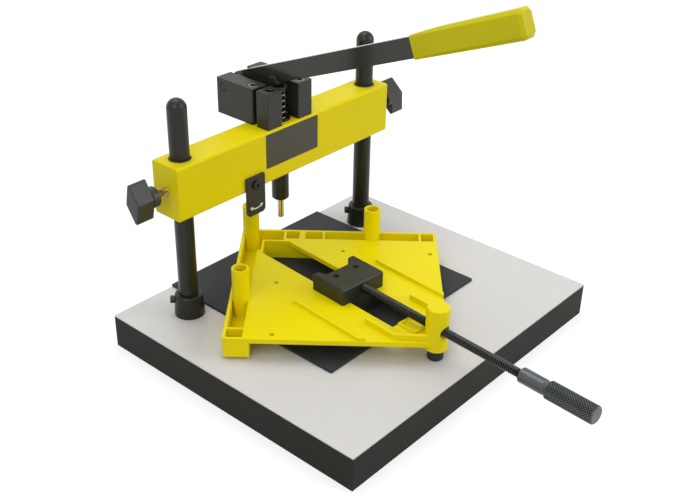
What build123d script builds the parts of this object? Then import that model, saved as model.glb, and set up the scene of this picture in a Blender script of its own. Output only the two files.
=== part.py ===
from build123d import *
import math
import os

# Picture frame underpinner: a bench press that drives V-nails into a mitred frame corner.
#
# Millimetres. The origin is the centre of the base board's underside, +X to the operator's
# right, +Y to the back, +Z up. The operator stands at -Y and pulls the lever down.
#
# The corner tray is a loose jig. It stands on the mat, turned a few degrees from the base, so
# its pieces are drawn in a frame of their own, whose XY plane is the mat's top, whose -Y
# corner carries the clamp screw and whose +Y corner lies behind the plunger.

os.makedirs("parts", exist_ok=True)

# ---- driving dimensions -------------------------------------------------------------------

# base
BASE_W, BASE_D, BASE_T = 334.0, 282.0, 32.0
LAMINATE_T = 1.0
MAT_SIDE, MAT_T = 200.0, 2.5

# columns
COLUMN_X, COLUMN_Y = 117.5, 96.0
POST_R, POST_TOP = 8.5, 237.0
COLLAR_R_LOW, COLLAR_R_HIGH, COLLAR_H = 13.5, 12.5, 21.0
COLLAR_SKIRT_H, COLLAR_BEVEL = 2.0, 1.2
BOLT_R, BOLT_HEAD_R, BOLT_HEAD_H, BOLT_KEY = 4.0, 6.5, 8.0, 6.0
BOLT_REACH, BOLT_CLEARANCE = 20.0, 0.5  # thread in the post's foot, play in the board
WASHER_R, WASHER_T, SOCKET_CLEARANCE = 9.0, 1.6, 1.0
SET_SCREW_R, SET_SCREW_HEAD_R, SET_SCREW_HEAD_H, SET_SCREW_KEY = 2.0, 3.5, 4.0, 3.0
SET_SCREW_DOWN, SET_SCREW_DEG = 7.0, 135.0
COLUMN_FIT = 0.06                       # radial clearance of a post in its bush
EDGE_BREAK = 0.6                        # chamfer on turned edges

# beam
BEAM_L, BEAM_D, BEAM_H, BEAM_BOTTOM = 269.0, 32.0, 49.0, 135.0
BEAM_WALL, BEAM_END_WALL, BEAM_EDGE_R, BEAM_END_R = 3.0, 8.0, 2.5, 1.0
BUSH_R, BUSH_PROUD = 9.8, 0.8
LABEL_W, LABEL_H, LABEL_T, LABEL_Z, LABEL_CORNER_R = 66.0, 32.0, 0.6, 166.0, 1.0

# press head on the beam
HEAD_W, HEAD_H, HEAD_SLOT = 56.0, 33.5, 21.0
GUIDE_BLOCK_D, HEAD_GAP, HEAD_SETBACK = 14.5, 4.5, 2.0
YOKE_D, YOKE_FLOOR = 46.0, 8.0
GUIDE_BLOCK_EDGE_R, YOKE_EDGE_R = 0.8, 1.2
M6_R, M6_HEAD_R, M6_HEAD_H, M6_KEY = 3.0, 5.0, 6.0, 5.0
M6_SEAT_R, M6_SETBACK = 5.3, 2.5
PIVOT_Y, PIVOT_Z, PIVOT_R = 138.0, 210.5, 4.0
SPACER_R, SPACER_GAP = 6.0, 0.2
RUNNING_FIT = 0.05

# lever
LEVER_REST_DEG, LEVER_STROKE_DEG = 21.7, 26.7
LEVER_T, LEVER_H, LEVER_TAIL = 6.0, 17.0, 14.5
LEVER_END = 300.0
NOSE_R, NOSE_L, NOSE_GAP = 5.0, 14.0, 0.15
GRIP_START, GRIP_BOTTOM, GRIP_END_R = 204.3, -9.7, 2.5
GRIP_SECTIONS = (                       # distance from its start, width, height, edge bevel
    (0.0, 8.4, 19.5, 1.0),
    (30.0, 14.2, 21.4, 2.6),
    (106.6, 17.0, 22.8, 3.2),
)

# plunger
RAM_R, RAM_BOTTOM, RAM_SHOULDER, RAM_CHAMFER = 8.0, 104.0, 159.95, 1.5
STEM_R, STEM_IN_CAP, CAP_R, CAP_T = 4.0, 3.0, 7.0, 5.0
TIP_R, TIP_BOTTOM, TIP_TOP = 2.9, 84.0, 118.0
GUIDE_R, GUIDE_TOP = 10.0, 186.0
SPRING_SEAT, WEB_BOTTOM, SPRING_BORE_R = 165.0, 160.0, 7.6
SPRING_R, WIRE_R, SPRING_TURNS, SPRING_PLAY = 6.0, 0.7, 8, 0.05

# beam clamp knobs
KNOB_NECK_X, KNOB_BODY_X, KNOB_END_X = 147.0, 153.0, 170.0
KNOB_HALF_LONG, KNOB_HALF_SHORT, KNOB_NECK_R = 20.0, 8.4, 9.0
KNOB_CORNER_R, KNOB_EDGE = 1.8, 0.8
KNOB_TILT = {"left": 11.6, "right": 25.7}
STUD_R, STUD_TIP_X, STUD_SEAT_X, STUD_END_GAP = 4.0, 126.1, 161.0, 0.2

# swing plate
SWING_X, SWING_Z, SWING_W, SWING_TOP, SWING_BOTTOM = -49.0, 141.0, 22.0, 149.5, 112.0
SWING_T, SWING_LOW_CORNER_R, SWING_HIGH_CORNER_R = 2.0, 4.0, 1.2
SWING_WASHER_R, SWING_WASHER_T, SWING_HUB_R, SWING_PLAY = 5.0, 0.7, 2.5, 0.1
SWING_SCREW_R, SWING_HEAD_R, SWING_HEAD_H, SWING_KEY, SWING_KEY_DEPTH = 2.0, 4.2, 2.4, 3.0, 1.4

# corner tray, in the tray's own frame
TRAY_X, TRAY_Y, TRAY_YAW_DEG = -13.6, 11.5, -4.5
TRAY_SIDE, DECK_Z, DECK_T = 189.5, 18.5, 4.4
TRAY_WALL, CHANNEL_W, CHANNEL_FLOOR = 3.0, 23.0, 2.5
TRAY_CORNER_R = 4.0
POCKET_W, CORNER_POCKET_W, CORNER_POCKET_START = 14.0, 17.5, 148.75
CHANNEL_RIBS = {                        # distance from the channel's open end, thickness
    "left": ((16.0, 2.5),),
    "right": ((16.0, 2.5), (109.5, 2.5), (130.5, 6.0), (147.5, 2.5)),
}
LEG_R, LEG_BORE_R, LEG_TOP = 7.9, 5.6, 49.5
LEG_ALONG, LEG_INSET, BACK_LEG_Y = 63.0, 10.6, 121.5
BOSS_R, BOSS_BOTTOM, BOSS_TOP, BOSS_EDGE_R = 10.0, 8.5, 49.0, 1.5
WINDOW_W, WINDOW_FRONT = 33.0, -85.0
DECK_RIB_X, DECK_RIB_W, DECK_RIB_H = 51.5, 4.0, 3.2
GUIDE_X, GUIDE_W, GUIDE_H, GUIDE_BACK, GUIDE_BEND, GUIDE_END_X = 28.0, 4.0, 5.0, -65.0, -98.0, 8.0
RIM_W, RIM_L, RIM_H, RIM_WALL, RIM_SETBACK = 23.0, 20.0, 2.5, 2.5, 1.0
DECK_HOLE_R = 2.1
DECK_HOLES = ((42.0, 36.0), (99.0, -24.0))
FOOT_R, FOOT_CHAMFER = 7.0, 1.0

# clamp block and screw, in the tray's own frame
SCREW_Z, SCREW_R = 27.5, 4.0
BLOCK_W, BLOCK_FRONT, BLOCK_TOP, BLOCK_GAP = 51.0, -33.5, 34.0, 0.1
PRONG_Y, PRONG_W, RECESS_Y, RECESS_W = 6.0, 7.0, -2.0, 31.0
BLOCK_CORNER_R, BLOCK_EDGE, ROD_END_GAP = 1.8, 1.2, 0.2
SHOE_BOTTOM, SHOE_GAP, SHOE_W, NECK_W, SHOE_APEX = 1.0, 0.2, 50.0, 32.4, 6.0
SHOE_SCREW_X, SHOE_SCREW_Y, SHOE_SCREW_DEPTH = 12.0, -11.0, 10.0
M3_R, M3_HEAD_R, M3_HEAD_H, M3_KEY, M3_SINK = 1.5, 2.75, 3.0, 2.5, 0.8
NUT_R, NUT_L = 5.5, 14.0
ROD_INNER, ROD_OUTER = -18.2, -217.0
HANDLE_START, HANDLE_KNURL, HANDLE_END = -207.0, -233.0, -277.0
HANDLE_NECK_R, HANDLE_R, HANDLE_BEVEL = 6.5, 8.0, 1.2
HANDLE_GROOVE_L, HANDLE_GROOVE_R = 1.5, 5.5

KEY_DEPTH = 0.55                        # depth of a hex socket as a share of its screw's head

# ---- worked out from the above ------------------------------------------------------------

SIDES = (("left", -1), ("right", 1))
MAT_TOP = BASE_T + MAT_T
BEAM_TOP = BEAM_BOTTOM + BEAM_H
BEAM_MID_Z = BEAM_BOTTOM + BEAM_H / 2
BEAM_FRONT = COLUMN_Y - BEAM_D / 2
HEAD_TOP = BEAM_TOP + HEAD_H
HEAD_FRONT = BEAM_FRONT + HEAD_SETBACK
YOKE_FRONT = HEAD_FRONT + GUIDE_BLOCK_D + HEAD_GAP
CHEEK_T = (HEAD_W - HEAD_SLOT) / 2
CHEEK_X = (HEAD_W + HEAD_SLOT) / 4
BLOCK_SCREW_YS = (HEAD_FRONT + GUIDE_BLOCK_D / 2, YOKE_FRONT + M6_HEAD_R + M6_SETBACK)

# The nose swings evenly about the pivot's height, so the plunger follows it almost linearly.
NOSE_ARM = PIVOT_Y - COLUMN_Y
NOSE_SWING = math.radians(LEVER_STROKE_DEG / 2)
NOSE_DROP = math.radians(LEVER_REST_DEG) - NOSE_SWING
NOSE_U = NOSE_ARM * math.cos(NOSE_DROP)
NOSE_V = -NOSE_ARM * math.sin(NOSE_DROP)
CAP_TOP = PIVOT_Z + NOSE_ARM * math.sin(NOSE_SWING) - NOSE_R - NOSE_GAP
CAP_BOTTOM = CAP_TOP - CAP_T

HALF_DIAGONAL = TRAY_SIDE / math.sqrt(2)
BOSS_Y = -(HALF_DIAGONAL - BOSS_R * math.sqrt(2))
FENCE_Y = HALF_DIAGONAL - CHANNEL_W * math.sqrt(2)
DECK_UNDER = DECK_Z - DECK_T

lever_rest = math.radians(LEVER_REST_DEG)
lever_plane = Plane(
    origin=(0, PIVOT_Y, PIVOT_Z),
    x_dir=(0, -math.cos(lever_rest), math.sin(lever_rest)),
    z_dir=(-1, 0, 0),
)
tray_yaw = math.radians(TRAY_YAW_DEG)
tray_plane = Plane(
    origin=(TRAY_X, TRAY_Y, MAT_TOP),
    x_dir=(math.cos(tray_yaw), math.sin(tray_yaw), 0),
    z_dir=(0, 0, 1),
)


def upright(x, y):
    """A plane through a vertical axis at x, y, for profiles of radius against height."""
    return Plane(origin=(x, y, 0), x_dir=(1, 0, 0), z_dir=(0, -1, 0))


def vertical_axis(x, y):
    return Axis((x, y, 0), (0, 0, 1))


def turned(profile, x, y):
    """A body of revolution about the vertical axis at x, y, from (radius, height) points."""
    with BuildPart() as piece:
        with BuildSketch(upright(x, y)):
            with BuildLine():
                Polyline(*profile, close=True)
            make_face()
        revolve(axis=vertical_axis(x, y))
    return piece


def screw_plane(y):
    """A plane across the clamp screw at y in the tray's frame, facing the operator."""
    return Plane(
        origin=tray_plane.from_local_coords((0, y, SCREW_Z)),
        x_dir=tray_plane.x_dir,
        z_dir=-tray_plane.y_dir,
    )


def turned_on_screw(profile):
    """A body of revolution about the clamp screw, from (radius, distance towards -Y) points."""
    axis_plane = Plane(
        origin=tray_plane.from_local_coords((0, 0, SCREW_Z)),
        x_dir=tray_plane.x_dir,
        z_dir=tray_plane.z_dir,
    )
    with BuildPart() as piece:
        with BuildSketch(axis_plane):
            with BuildLine():
                Polyline(*[(radius, y) for radius, y in profile], close=True)
            make_face()
        revolve(axis=Axis(axis_plane.origin, tray_plane.y_dir))
    return piece


def cap_screws(seats, head_r, head_h, shank_r, shank_l, key):
    """Socket cap screws, each with its head standing on a seat plane and its shank behind it."""
    with BuildPart() as screws:
        for seat in seats:
            with BuildSketch(seat):
                Circle(head_r)
            extrude(amount=head_h)
            with BuildSketch(seat):
                Circle(shank_r)
            extrude(amount=-shank_l)
            with BuildSketch(seat.offset(head_h)):
                RegularPolygon(key / 2, 6, major_radius=False)
            extrude(amount=-head_h * KEY_DEPTH, mode=Mode.SUBTRACT)
    return screws


# ---- base ---------------------------------------------------------------------------------

post_sockets = [
    Plane(origin=(side * COLUMN_X, COLUMN_Y, 0), z_dir=(0, 0, -1)) for _, side in SIDES
]

with BuildPart() as base_board:
    Box(BASE_W, BASE_D, BASE_T - LAMINATE_T, align=(Align.CENTER, Align.CENTER, Align.MIN))
    with Locations(*post_sockets):
        CounterBoreHole(
            BOLT_R + BOLT_CLEARANCE,
            WASHER_R + SOCKET_CLEARANCE,
            SOCKET_CLEARANCE + BOLT_HEAD_H + WASHER_T,
            depth=BASE_T,
        )
base_board.part.label = "base_board"
export_step(base_board.part, "parts/base_board.step")

with BuildPart() as base_laminate:
    with BuildSketch(Plane.XY.offset(BASE_T - LAMINATE_T)):
        Rectangle(BASE_W, BASE_D)
        with Locations(*[(side * COLUMN_X, COLUMN_Y) for _, side in SIDES]):
            Circle(BOLT_R + BOLT_CLEARANCE, mode=Mode.SUBTRACT)
    extrude(amount=LAMINATE_T)
base_laminate.part.label = "base_laminate"
export_step(base_laminate.part, "parts/base_laminate.step")

with BuildPart() as base_mat:
    with BuildSketch(Plane.XY.offset(BASE_T)):
        with Locations((0, (BASE_D - MAT_SIDE) / 2)):
            Rectangle(MAT_SIDE, MAT_SIDE)
    extrude(amount=MAT_T)
base_mat.part.label = "base_mat"
export_step(base_mat.part, "parts/base_mat.step")

# ---- columns ------------------------------------------------------------------------------

# The set screw of each collar points away behind and to the left of its post.
COLLAR_TOP = BASE_T + COLLAR_H
SET_SCREW_L = COLLAR_R_HIGH - POST_R
set_screw_angle = math.radians(SET_SCREW_DEG)
set_screw_dir = (math.cos(set_screw_angle), math.sin(set_screw_angle), 0)

collar_screw_seats = []
for side_name, side in SIDES:
    post_x = side * COLUMN_X
    with BuildPart() as post:
        with BuildSketch(upright(post_x, COLUMN_Y)):
            with BuildLine():
                Polyline((0, POST_TOP), (0, BASE_T), (POST_R, BASE_T), (POST_R, POST_TOP - POST_R))
                CenterArc((0, POST_TOP - POST_R), POST_R, 0, 90)
            make_face()
        revolve(axis=vertical_axis(post_x, COLUMN_Y))
        with Locations(Plane(origin=(post_x, COLUMN_Y, BASE_T), z_dir=(0, 0, -1))):
            Hole(BOLT_R, depth=BOLT_REACH)
    post.part.label = f"{side_name}_post"
    export_step(post.part, f"parts/{side_name}_post.step")

    seat = Plane(
        origin=(
            post_x + COLLAR_R_HIGH * set_screw_dir[0],
            COLUMN_Y + COLLAR_R_HIGH * set_screw_dir[1],
            COLLAR_TOP - SET_SCREW_DOWN,
        ),
        z_dir=set_screw_dir,
    )
    collar_screw_seats.append(seat)
    with BuildPart() as collar:
        with BuildSketch(upright(post_x, COLUMN_Y)):
            with BuildLine():
                Polyline(
                    (POST_R, BASE_T),
                    (COLLAR_R_LOW, BASE_T),
                    (COLLAR_R_LOW, BASE_T + COLLAR_SKIRT_H),
                    (COLLAR_R_HIGH, COLLAR_TOP - COLLAR_BEVEL),
                    (COLLAR_R_HIGH - COLLAR_BEVEL, COLLAR_TOP),
                    (POST_R, COLLAR_TOP),
                    close=True,
                )
            make_face()
        revolve(axis=vertical_axis(post_x, COLUMN_Y))
        with BuildSketch(seat):
            Circle(SET_SCREW_R)
        extrude(amount=-COLLAR_R_HIGH, mode=Mode.SUBTRACT)
        with BuildSketch(seat):
            Circle(SET_SCREW_HEAD_R)
        extrude(amount=SET_SCREW_HEAD_H, mode=Mode.SUBTRACT)
    collar.part.label = f"{side_name}_post_collar"
    export_step(collar.part, f"parts/{side_name}_post_collar.step")

collar_screws = cap_screws(
    collar_screw_seats, SET_SCREW_HEAD_R, SET_SCREW_HEAD_H, SET_SCREW_R, SET_SCREW_L, SET_SCREW_KEY
)
collar_screws.part.label = "collar_screws"
export_step(collar_screws.part, "parts/collar_screws.step")

WASHER_Z = SOCKET_CLEARANCE + BOLT_HEAD_H
with BuildPart() as post_washers:
    with BuildSketch(Plane.XY.offset(WASHER_Z)):
        with Locations(*[(side * COLUMN_X, COLUMN_Y) for _, side in SIDES]):
            Circle(WASHER_R)
            Circle(BOLT_R + BOLT_CLEARANCE, mode=Mode.SUBTRACT)
    extrude(amount=WASHER_T)
post_washers.part.label = "post_washers"
export_step(post_washers.part, "parts/post_washers.step")

bolt_seats = [
    Plane(origin=(side * COLUMN_X, COLUMN_Y, WASHER_Z), z_dir=(0, 0, -1))
    for _, side in SIDES
]
bolt_length = BASE_T + BOLT_REACH - SOCKET_CLEARANCE - WASHER_Z
post_bolts = cap_screws(bolt_seats, BOLT_HEAD_R, BOLT_HEAD_H, BOLT_R, bolt_length, BOLT_KEY)
post_bolts.part.label = "post_bolts"
export_step(post_bolts.part, "parts/post_bolts.step")

# ---- beam ---------------------------------------------------------------------------------

block_screw_seats = [
    Plane(origin=(side * CHEEK_X, y, HEAD_TOP - M6_HEAD_H), z_dir=(0, 0, 1))
    for _, side in SIDES
    for y in BLOCK_SCREW_YS
]
swing_face = Plane(origin=(SWING_X, BEAM_FRONT, SWING_Z), x_dir=(1, 0, 0), z_dir=(0, -1, 0))

with BuildPart() as beam:
    with BuildSketch(Plane.YZ.offset(-BEAM_L / 2)):
        with Locations((COLUMN_Y, BEAM_MID_Z)):
            RectangleRounded(BEAM_D, BEAM_H, BEAM_EDGE_R)
    extrude(amount=BEAM_L)
    end_faces = [beam.faces().sort_by(Axis.X)[0], beam.faces().sort_by(Axis.X)[-1]]
    fillet([edge for face in end_faces for edge in face.edges()], BEAM_END_R)
    with Locations((0, COLUMN_Y, BEAM_MID_Z)):
        Box(
            BEAM_L - 2 * BEAM_END_WALL,
            BEAM_D - 2 * BEAM_WALL,
            BEAM_H - 2 * BEAM_WALL,
            mode=Mode.SUBTRACT,
        )
    with Locations(*[(side * COLUMN_X, COLUMN_Y, BEAM_TOP) for _, side in SIDES]):
        Hole(BUSH_R, depth=BEAM_H)
    with Locations((0, COLUMN_Y, BEAM_TOP)):
        Hole(GUIDE_R, depth=BEAM_H)
    with Locations(*[(seat.origin.X, seat.origin.Y, BEAM_TOP) for seat in block_screw_seats]):
        Hole(M6_R, depth=2 * BEAM_WALL)
    for _, side in SIDES:
        with Locations(
            Plane(origin=(side * BEAM_L / 2, COLUMN_Y, BEAM_MID_Z), z_dir=(side, 0, 0))
        ):
            Hole(STUD_R + RUNNING_FIT, depth=BEAM_END_WALL)
    with BuildSketch(swing_face):
        Circle(SWING_SCREW_R)
    extrude(amount=-BEAM_WALL, mode=Mode.SUBTRACT)
beam.part.label = "beam"
export_step(beam.part, "parts/beam.step")

for side_name, side in SIDES:
    post_x = side * COLUMN_X
    bore_r = POST_R + COLUMN_FIT
    with BuildPart() as bush:
        with BuildSketch(upright(post_x, COLUMN_Y)):
            with BuildLine():
                Polyline(
                    (bore_r, BEAM_BOTTOM),
                    (BUSH_R, BEAM_BOTTOM),
                    (BUSH_R, BEAM_TOP),
                    (bore_r + BUSH_PROUD, BEAM_TOP + BUSH_PROUD),
                    (bore_r, BEAM_TOP + BUSH_PROUD),
                    close=True,
                )
            make_face()
        revolve(axis=vertical_axis(post_x, COLUMN_Y))
        with BuildSketch(Plane(origin=(post_x, COLUMN_Y, BEAM_MID_Z), z_dir=(side, 0, 0))):
            Circle(STUD_R + STUD_END_GAP)
        extrude(amount=2 * BUSH_R, mode=Mode.SUBTRACT)
    bush.part.label = f"{side_name}_bush"
    export_step(bush.part, f"parts/{side_name}_bush.step")

with BuildPart() as label_plate:
    with BuildSketch(Plane(origin=(0, BEAM_FRONT, LABEL_Z), x_dir=(1, 0, 0), z_dir=(0, -1, 0))):
        RectangleRounded(LABEL_W, LABEL_H, LABEL_CORNER_R)
    extrude(amount=LABEL_T)
label_plate.part.label = "label_plate"
export_step(label_plate.part, "parts/label_plate.step")

# ---- press head: guide blocks in front, yoke behind, the lever's pivot in the yoke --------

for side_name, side in SIDES:
    with BuildPart() as guide_block:
        with BuildSketch(Plane.XY.offset(BEAM_TOP)):
            with Locations((side * CHEEK_X, HEAD_FRONT + GUIDE_BLOCK_D / 2)):
                RectangleRounded(CHEEK_T, GUIDE_BLOCK_D, GUIDE_BLOCK_EDGE_R)
        extrude(amount=HEAD_H)
        with Locations((side * CHEEK_X, BLOCK_SCREW_YS[0], HEAD_TOP)):
            CounterBoreHole(M6_R, M6_SEAT_R, M6_HEAD_H, depth=HEAD_H)
    guide_block.part.label = f"{side_name}_guide_block"
    export_step(guide_block.part, f"parts/{side_name}_guide_block.step")

with BuildPart() as lever_yoke:
    with BuildSketch(Plane.XZ.offset(-YOKE_FRONT)):
        with Locations((0, BEAM_TOP)):
            Rectangle(HEAD_W, HEAD_H, align=(Align.CENTER, Align.MIN))
        with Locations((0, BEAM_TOP + YOKE_FLOOR)):
            Rectangle(HEAD_SLOT, HEAD_H, align=(Align.CENTER, Align.MIN), mode=Mode.SUBTRACT)
    extrude(amount=-YOKE_D)
    outer_uprights = lever_yoke.edges().filter_by(Axis.Z).filter_by(
        lambda edge: abs(abs(edge.center().X) - HEAD_W / 2) < 0.1
    )
    fillet(outer_uprights, YOKE_EDGE_R)
    with Locations((0, COLUMN_Y, BEAM_TOP)):
        Cylinder(
            GUIDE_R,
            YOKE_FLOOR,
            align=(Align.CENTER, Align.CENTER, Align.MIN),
            mode=Mode.SUBTRACT,
        )
    with Locations(*[(side * CHEEK_X, BLOCK_SCREW_YS[1], HEAD_TOP) for _, side in SIDES]):
        CounterBoreHole(M6_R, M6_SEAT_R, M6_HEAD_H, depth=HEAD_H)
    with BuildSketch(Plane.YZ.offset(-HEAD_W / 2)):
        with Locations((PIVOT_Y, PIVOT_Z)):
            Circle(PIVOT_R)
    extrude(amount=HEAD_W, mode=Mode.SUBTRACT)
lever_yoke.part.label = "lever_yoke"
export_step(lever_yoke.part, "parts/lever_yoke.step")

block_screws = cap_screws(
    block_screw_seats, M6_HEAD_R, M6_HEAD_H, M6_R, HEAD_H - M6_HEAD_H + 1.5 * BEAM_WALL, M6_KEY
)
block_screws.part.label = "block_screws"
export_step(block_screws.part, "parts/block_screws.step")

with BuildPart() as pivot_pin:
    with BuildSketch(Plane.YZ.offset(-HEAD_W / 2)):
        with Locations((PIVOT_Y, PIVOT_Z)):
            Circle(PIVOT_R)
    extrude(amount=HEAD_W)
    chamfer(pivot_pin.edges().filter_by(GeomType.CIRCLE), EDGE_BREAK)
pivot_pin.part.label = "pivot_pin"
export_step(pivot_pin.part, "parts/pivot_pin.step")

spacer_inner = LEVER_T / 2 + SPACER_GAP
with BuildPart() as pivot_spacers:
    for _, side in SIDES:
        with BuildSketch(Plane.YZ.offset(side * spacer_inner)):
            with Locations((PIVOT_Y, PIVOT_Z)):
                Circle(SPACER_R)
                Circle(PIVOT_R, mode=Mode.SUBTRACT)
        extrude(amount=side * (HEAD_SLOT / 2 - spacer_inner))
pivot_spacers.part.label = "pivot_spacers"
export_step(pivot_spacers.part, "parts/pivot_spacers.step")

# ---- lever --------------------------------------------------------------------------------

with BuildPart() as lever_bar:
    with BuildSketch(lever_plane):
        with Locations((-(LEVER_TAIL - LEVER_H / 2), 0)):
            Circle(LEVER_H / 2)
            Rectangle(
                LEVER_END + LEVER_TAIL - LEVER_H / 2,
                LEVER_H,
                align=(Align.MIN, Align.CENTER),
            )
        with Locations((NOSE_U, NOSE_V)):
            Circle(NOSE_R, mode=Mode.SUBTRACT)
        Circle(PIVOT_R + RUNNING_FIT, mode=Mode.SUBTRACT)
    extrude(amount=LEVER_T / 2, both=True)
lever_bar.part.label = "lever_bar"
export_step(lever_bar.part, "parts/lever_bar.step")

with BuildPart() as press_pin:
    with BuildSketch(lever_plane):
        with Locations((NOSE_U, NOSE_V)):
            Circle(NOSE_R)
    extrude(amount=NOSE_L / 2, both=True)
    chamfer(press_pin.edges().filter_by(GeomType.CIRCLE), EDGE_BREAK)
press_pin.part.label = "press_pin"
export_step(press_pin.part, "parts/press_pin.step")

# The grip is level underneath. It swells quickly from the bar, then slowly to its blunt end.
with BuildPart() as lever_grip:
    for distance, width, height, bevel in GRIP_SECTIONS:
        section = Plane(
            origin=lever_plane.from_local_coords(
                (GRIP_START + distance, GRIP_BOTTOM + height / 2, 0)
            ),
            x_dir=(1, 0, 0),
            z_dir=lever_plane.x_dir,
        )
        with BuildSketch(section) as outline:
            Rectangle(width, height)
            chamfer(outline.vertices(), bevel)
    loft(ruled=True)
    grip_end = lever_grip.faces().sort_by(Axis(lever_plane.origin, lever_plane.x_dir))[-1]
    chamfer(grip_end.edges(), GRIP_END_R)
    with BuildSketch(lever_plane):
        Rectangle(LEVER_END, LEVER_H, align=(Align.MIN, Align.CENTER))
    extrude(amount=LEVER_T / 2, both=True, mode=Mode.SUBTRACT)
lever_grip.part.label = "lever_grip"
export_step(lever_grip.part, "parts/lever_grip.step")

# ---- plunger ------------------------------------------------------------------------------

plunger_guide = turned(
    (
        (RAM_R + COLUMN_FIT, BEAM_BOTTOM),
        (GUIDE_R, BEAM_BOTTOM),
        (GUIDE_R, GUIDE_TOP),
        (SPRING_BORE_R, GUIDE_TOP),
        (SPRING_BORE_R, SPRING_SEAT),
        (STEM_R + COLUMN_FIT, SPRING_SEAT),
        (STEM_R + COLUMN_FIT, WEB_BOTTOM),
        (RAM_R + COLUMN_FIT, WEB_BOTTOM),
    ),
    0,
    COLUMN_Y,
)
plunger_guide.part.label = "plunger_guide"
export_step(plunger_guide.part, "parts/plunger_guide.step")

STEM_TOP = CAP_BOTTOM + STEM_IN_CAP
plunger_ram = turned(
    (
        (TIP_R, RAM_BOTTOM),
        (RAM_R - RAM_CHAMFER, RAM_BOTTOM),
        (RAM_R, RAM_BOTTOM + RAM_CHAMFER),
        (RAM_R, RAM_SHOULDER),
        (STEM_R, RAM_SHOULDER),
        (STEM_R, STEM_TOP),
        (0, STEM_TOP),
        (0, TIP_TOP),
        (TIP_R, TIP_TOP),
    ),
    0,
    COLUMN_Y,
)
plunger_ram.part.label = "plunger_ram"
export_step(plunger_ram.part, "parts/plunger_ram.step")

plunger_cap = turned(
    (
        (STEM_R, CAP_BOTTOM),
        (CAP_R - EDGE_BREAK, CAP_BOTTOM),
        (CAP_R, CAP_BOTTOM + EDGE_BREAK),
        (CAP_R, CAP_TOP - EDGE_BREAK),
        (CAP_R - EDGE_BREAK, CAP_TOP),
        (0, CAP_TOP),
        (0, STEM_TOP),
        (STEM_R, STEM_TOP),
    ),
    0,
    COLUMN_Y,
)
plunger_cap.part.label = "plunger_cap"
export_step(plunger_cap.part, "parts/plunger_cap.step")

driver_tip = turned(
    (
        (0, TIP_BOTTOM),
        (TIP_R - EDGE_BREAK, TIP_BOTTOM),
        (TIP_R, TIP_BOTTOM + EDGE_BREAK),
        (TIP_R, TIP_TOP),
        (0, TIP_TOP),
    ),
    0,
    COLUMN_Y,
)
driver_tip.part.label = "driver_tip"
export_step(driver_tip.part, "parts/driver_tip.step")

# The coil's wire is six-sided here, a light stand-in for round wire of the same width.
spring_low = SPRING_SEAT + WIRE_R + SPRING_PLAY
spring_rise = CAP_BOTTOM - SPRING_SEAT - 2 * WIRE_R - 2 * SPRING_PLAY
with BuildPart() as return_spring:
    with BuildLine():
        coil = Helix(
            pitch=spring_rise / SPRING_TURNS,
            height=spring_rise,
            radius=SPRING_R,
            center=(0, COLUMN_Y, spring_low),
        )
    with BuildSketch(Plane(origin=coil @ 0, z_dir=coil % 0)):
        RegularPolygon(WIRE_R, 6)
    sweep(path=coil, is_frenet=True)
return_spring.part.label = "return_spring"
export_step(return_spring.part, "parts/return_spring.step")

# ---- beam clamp knobs: a lozenge knob on a stud that bears on the post --------------------

for side_name, side in SIDES:
    stud_plane = Plane(
        origin=(side * STUD_TIP_X, COLUMN_Y, BEAM_MID_Z), x_dir=(0, 1, 0), z_dir=(side, 0, 0)
    )
    with BuildPart() as stud:
        with BuildSketch(stud_plane):
            Circle(STUD_R)
        extrude(amount=STUD_SEAT_X - STUD_TIP_X)
        chamfer(stud.edges().filter_by(GeomType.CIRCLE), EDGE_BREAK)
    stud.part.label = f"{side_name}_stud"
    export_step(stud.part, f"parts/{side_name}_stud.step")

    tilt = math.radians(KNOB_TILT[side_name])
    knob_long = (0, math.sin(tilt), math.cos(tilt))
    with BuildPart() as knob:
        body_plane = Plane(
            origin=(side * KNOB_BODY_X, COLUMN_Y, BEAM_MID_Z), x_dir=knob_long, z_dir=(side, 0, 0)
        )
        with BuildSketch(body_plane) as lozenge:
            with BuildLine():
                Polyline(
                    (KNOB_HALF_LONG, 0),
                    (0, KNOB_HALF_SHORT),
                    (-KNOB_HALF_LONG, 0),
                    (0, -KNOB_HALF_SHORT),
                    close=True,
                )
            make_face()
            fillet(lozenge.vertices(), KNOB_CORNER_R)
        extrude(amount=KNOB_END_X - KNOB_BODY_X)
        chamfer(knob.faces().sort_by(Axis.X)[-1 if side > 0 else 0].edges(), KNOB_EDGE)
        with BuildSketch(body_plane):
            Circle(KNOB_NECK_R)
        extrude(amount=-(KNOB_BODY_X - KNOB_NECK_X))
        with BuildSketch(body_plane.offset(KNOB_NECK_X - KNOB_BODY_X)):
            Circle(STUD_R + RUNNING_FIT)
        extrude(amount=STUD_SEAT_X + STUD_END_GAP - KNOB_NECK_X, mode=Mode.SUBTRACT)
    knob.part.label = f"{side_name}_knob"
    export_step(knob.part, f"parts/{side_name}_knob.step")

# ---- swing plate on the beam's front ------------------------------------------------------

with BuildPart() as swing_plate:
    with BuildSketch(swing_face.offset(SWING_WASHER_T)) as swing_outline:
        with Locations((0, (SWING_TOP + SWING_BOTTOM) / 2 - SWING_Z)):
            Rectangle(SWING_W, SWING_TOP - SWING_BOTTOM)
        fillet(swing_outline.vertices().group_by(Axis.Y)[0], SWING_LOW_CORNER_R)
        fillet(swing_outline.vertices().group_by(Axis.Y)[-1], SWING_HIGH_CORNER_R)
        Circle(SWING_HUB_R + RUNNING_FIT, mode=Mode.SUBTRACT)
    extrude(amount=SWING_T)
swing_plate.part.label = "swing_plate"
export_step(swing_plate.part, "parts/swing_plate.step")

with BuildPart() as swing_washer:
    with BuildSketch(swing_face):
        Circle(SWING_WASHER_R)
        Circle(SWING_HUB_R, mode=Mode.SUBTRACT)
    extrude(amount=SWING_WASHER_T)
swing_washer.part.label = "swing_washer"
export_step(swing_washer.part, "parts/swing_washer.step")

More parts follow.
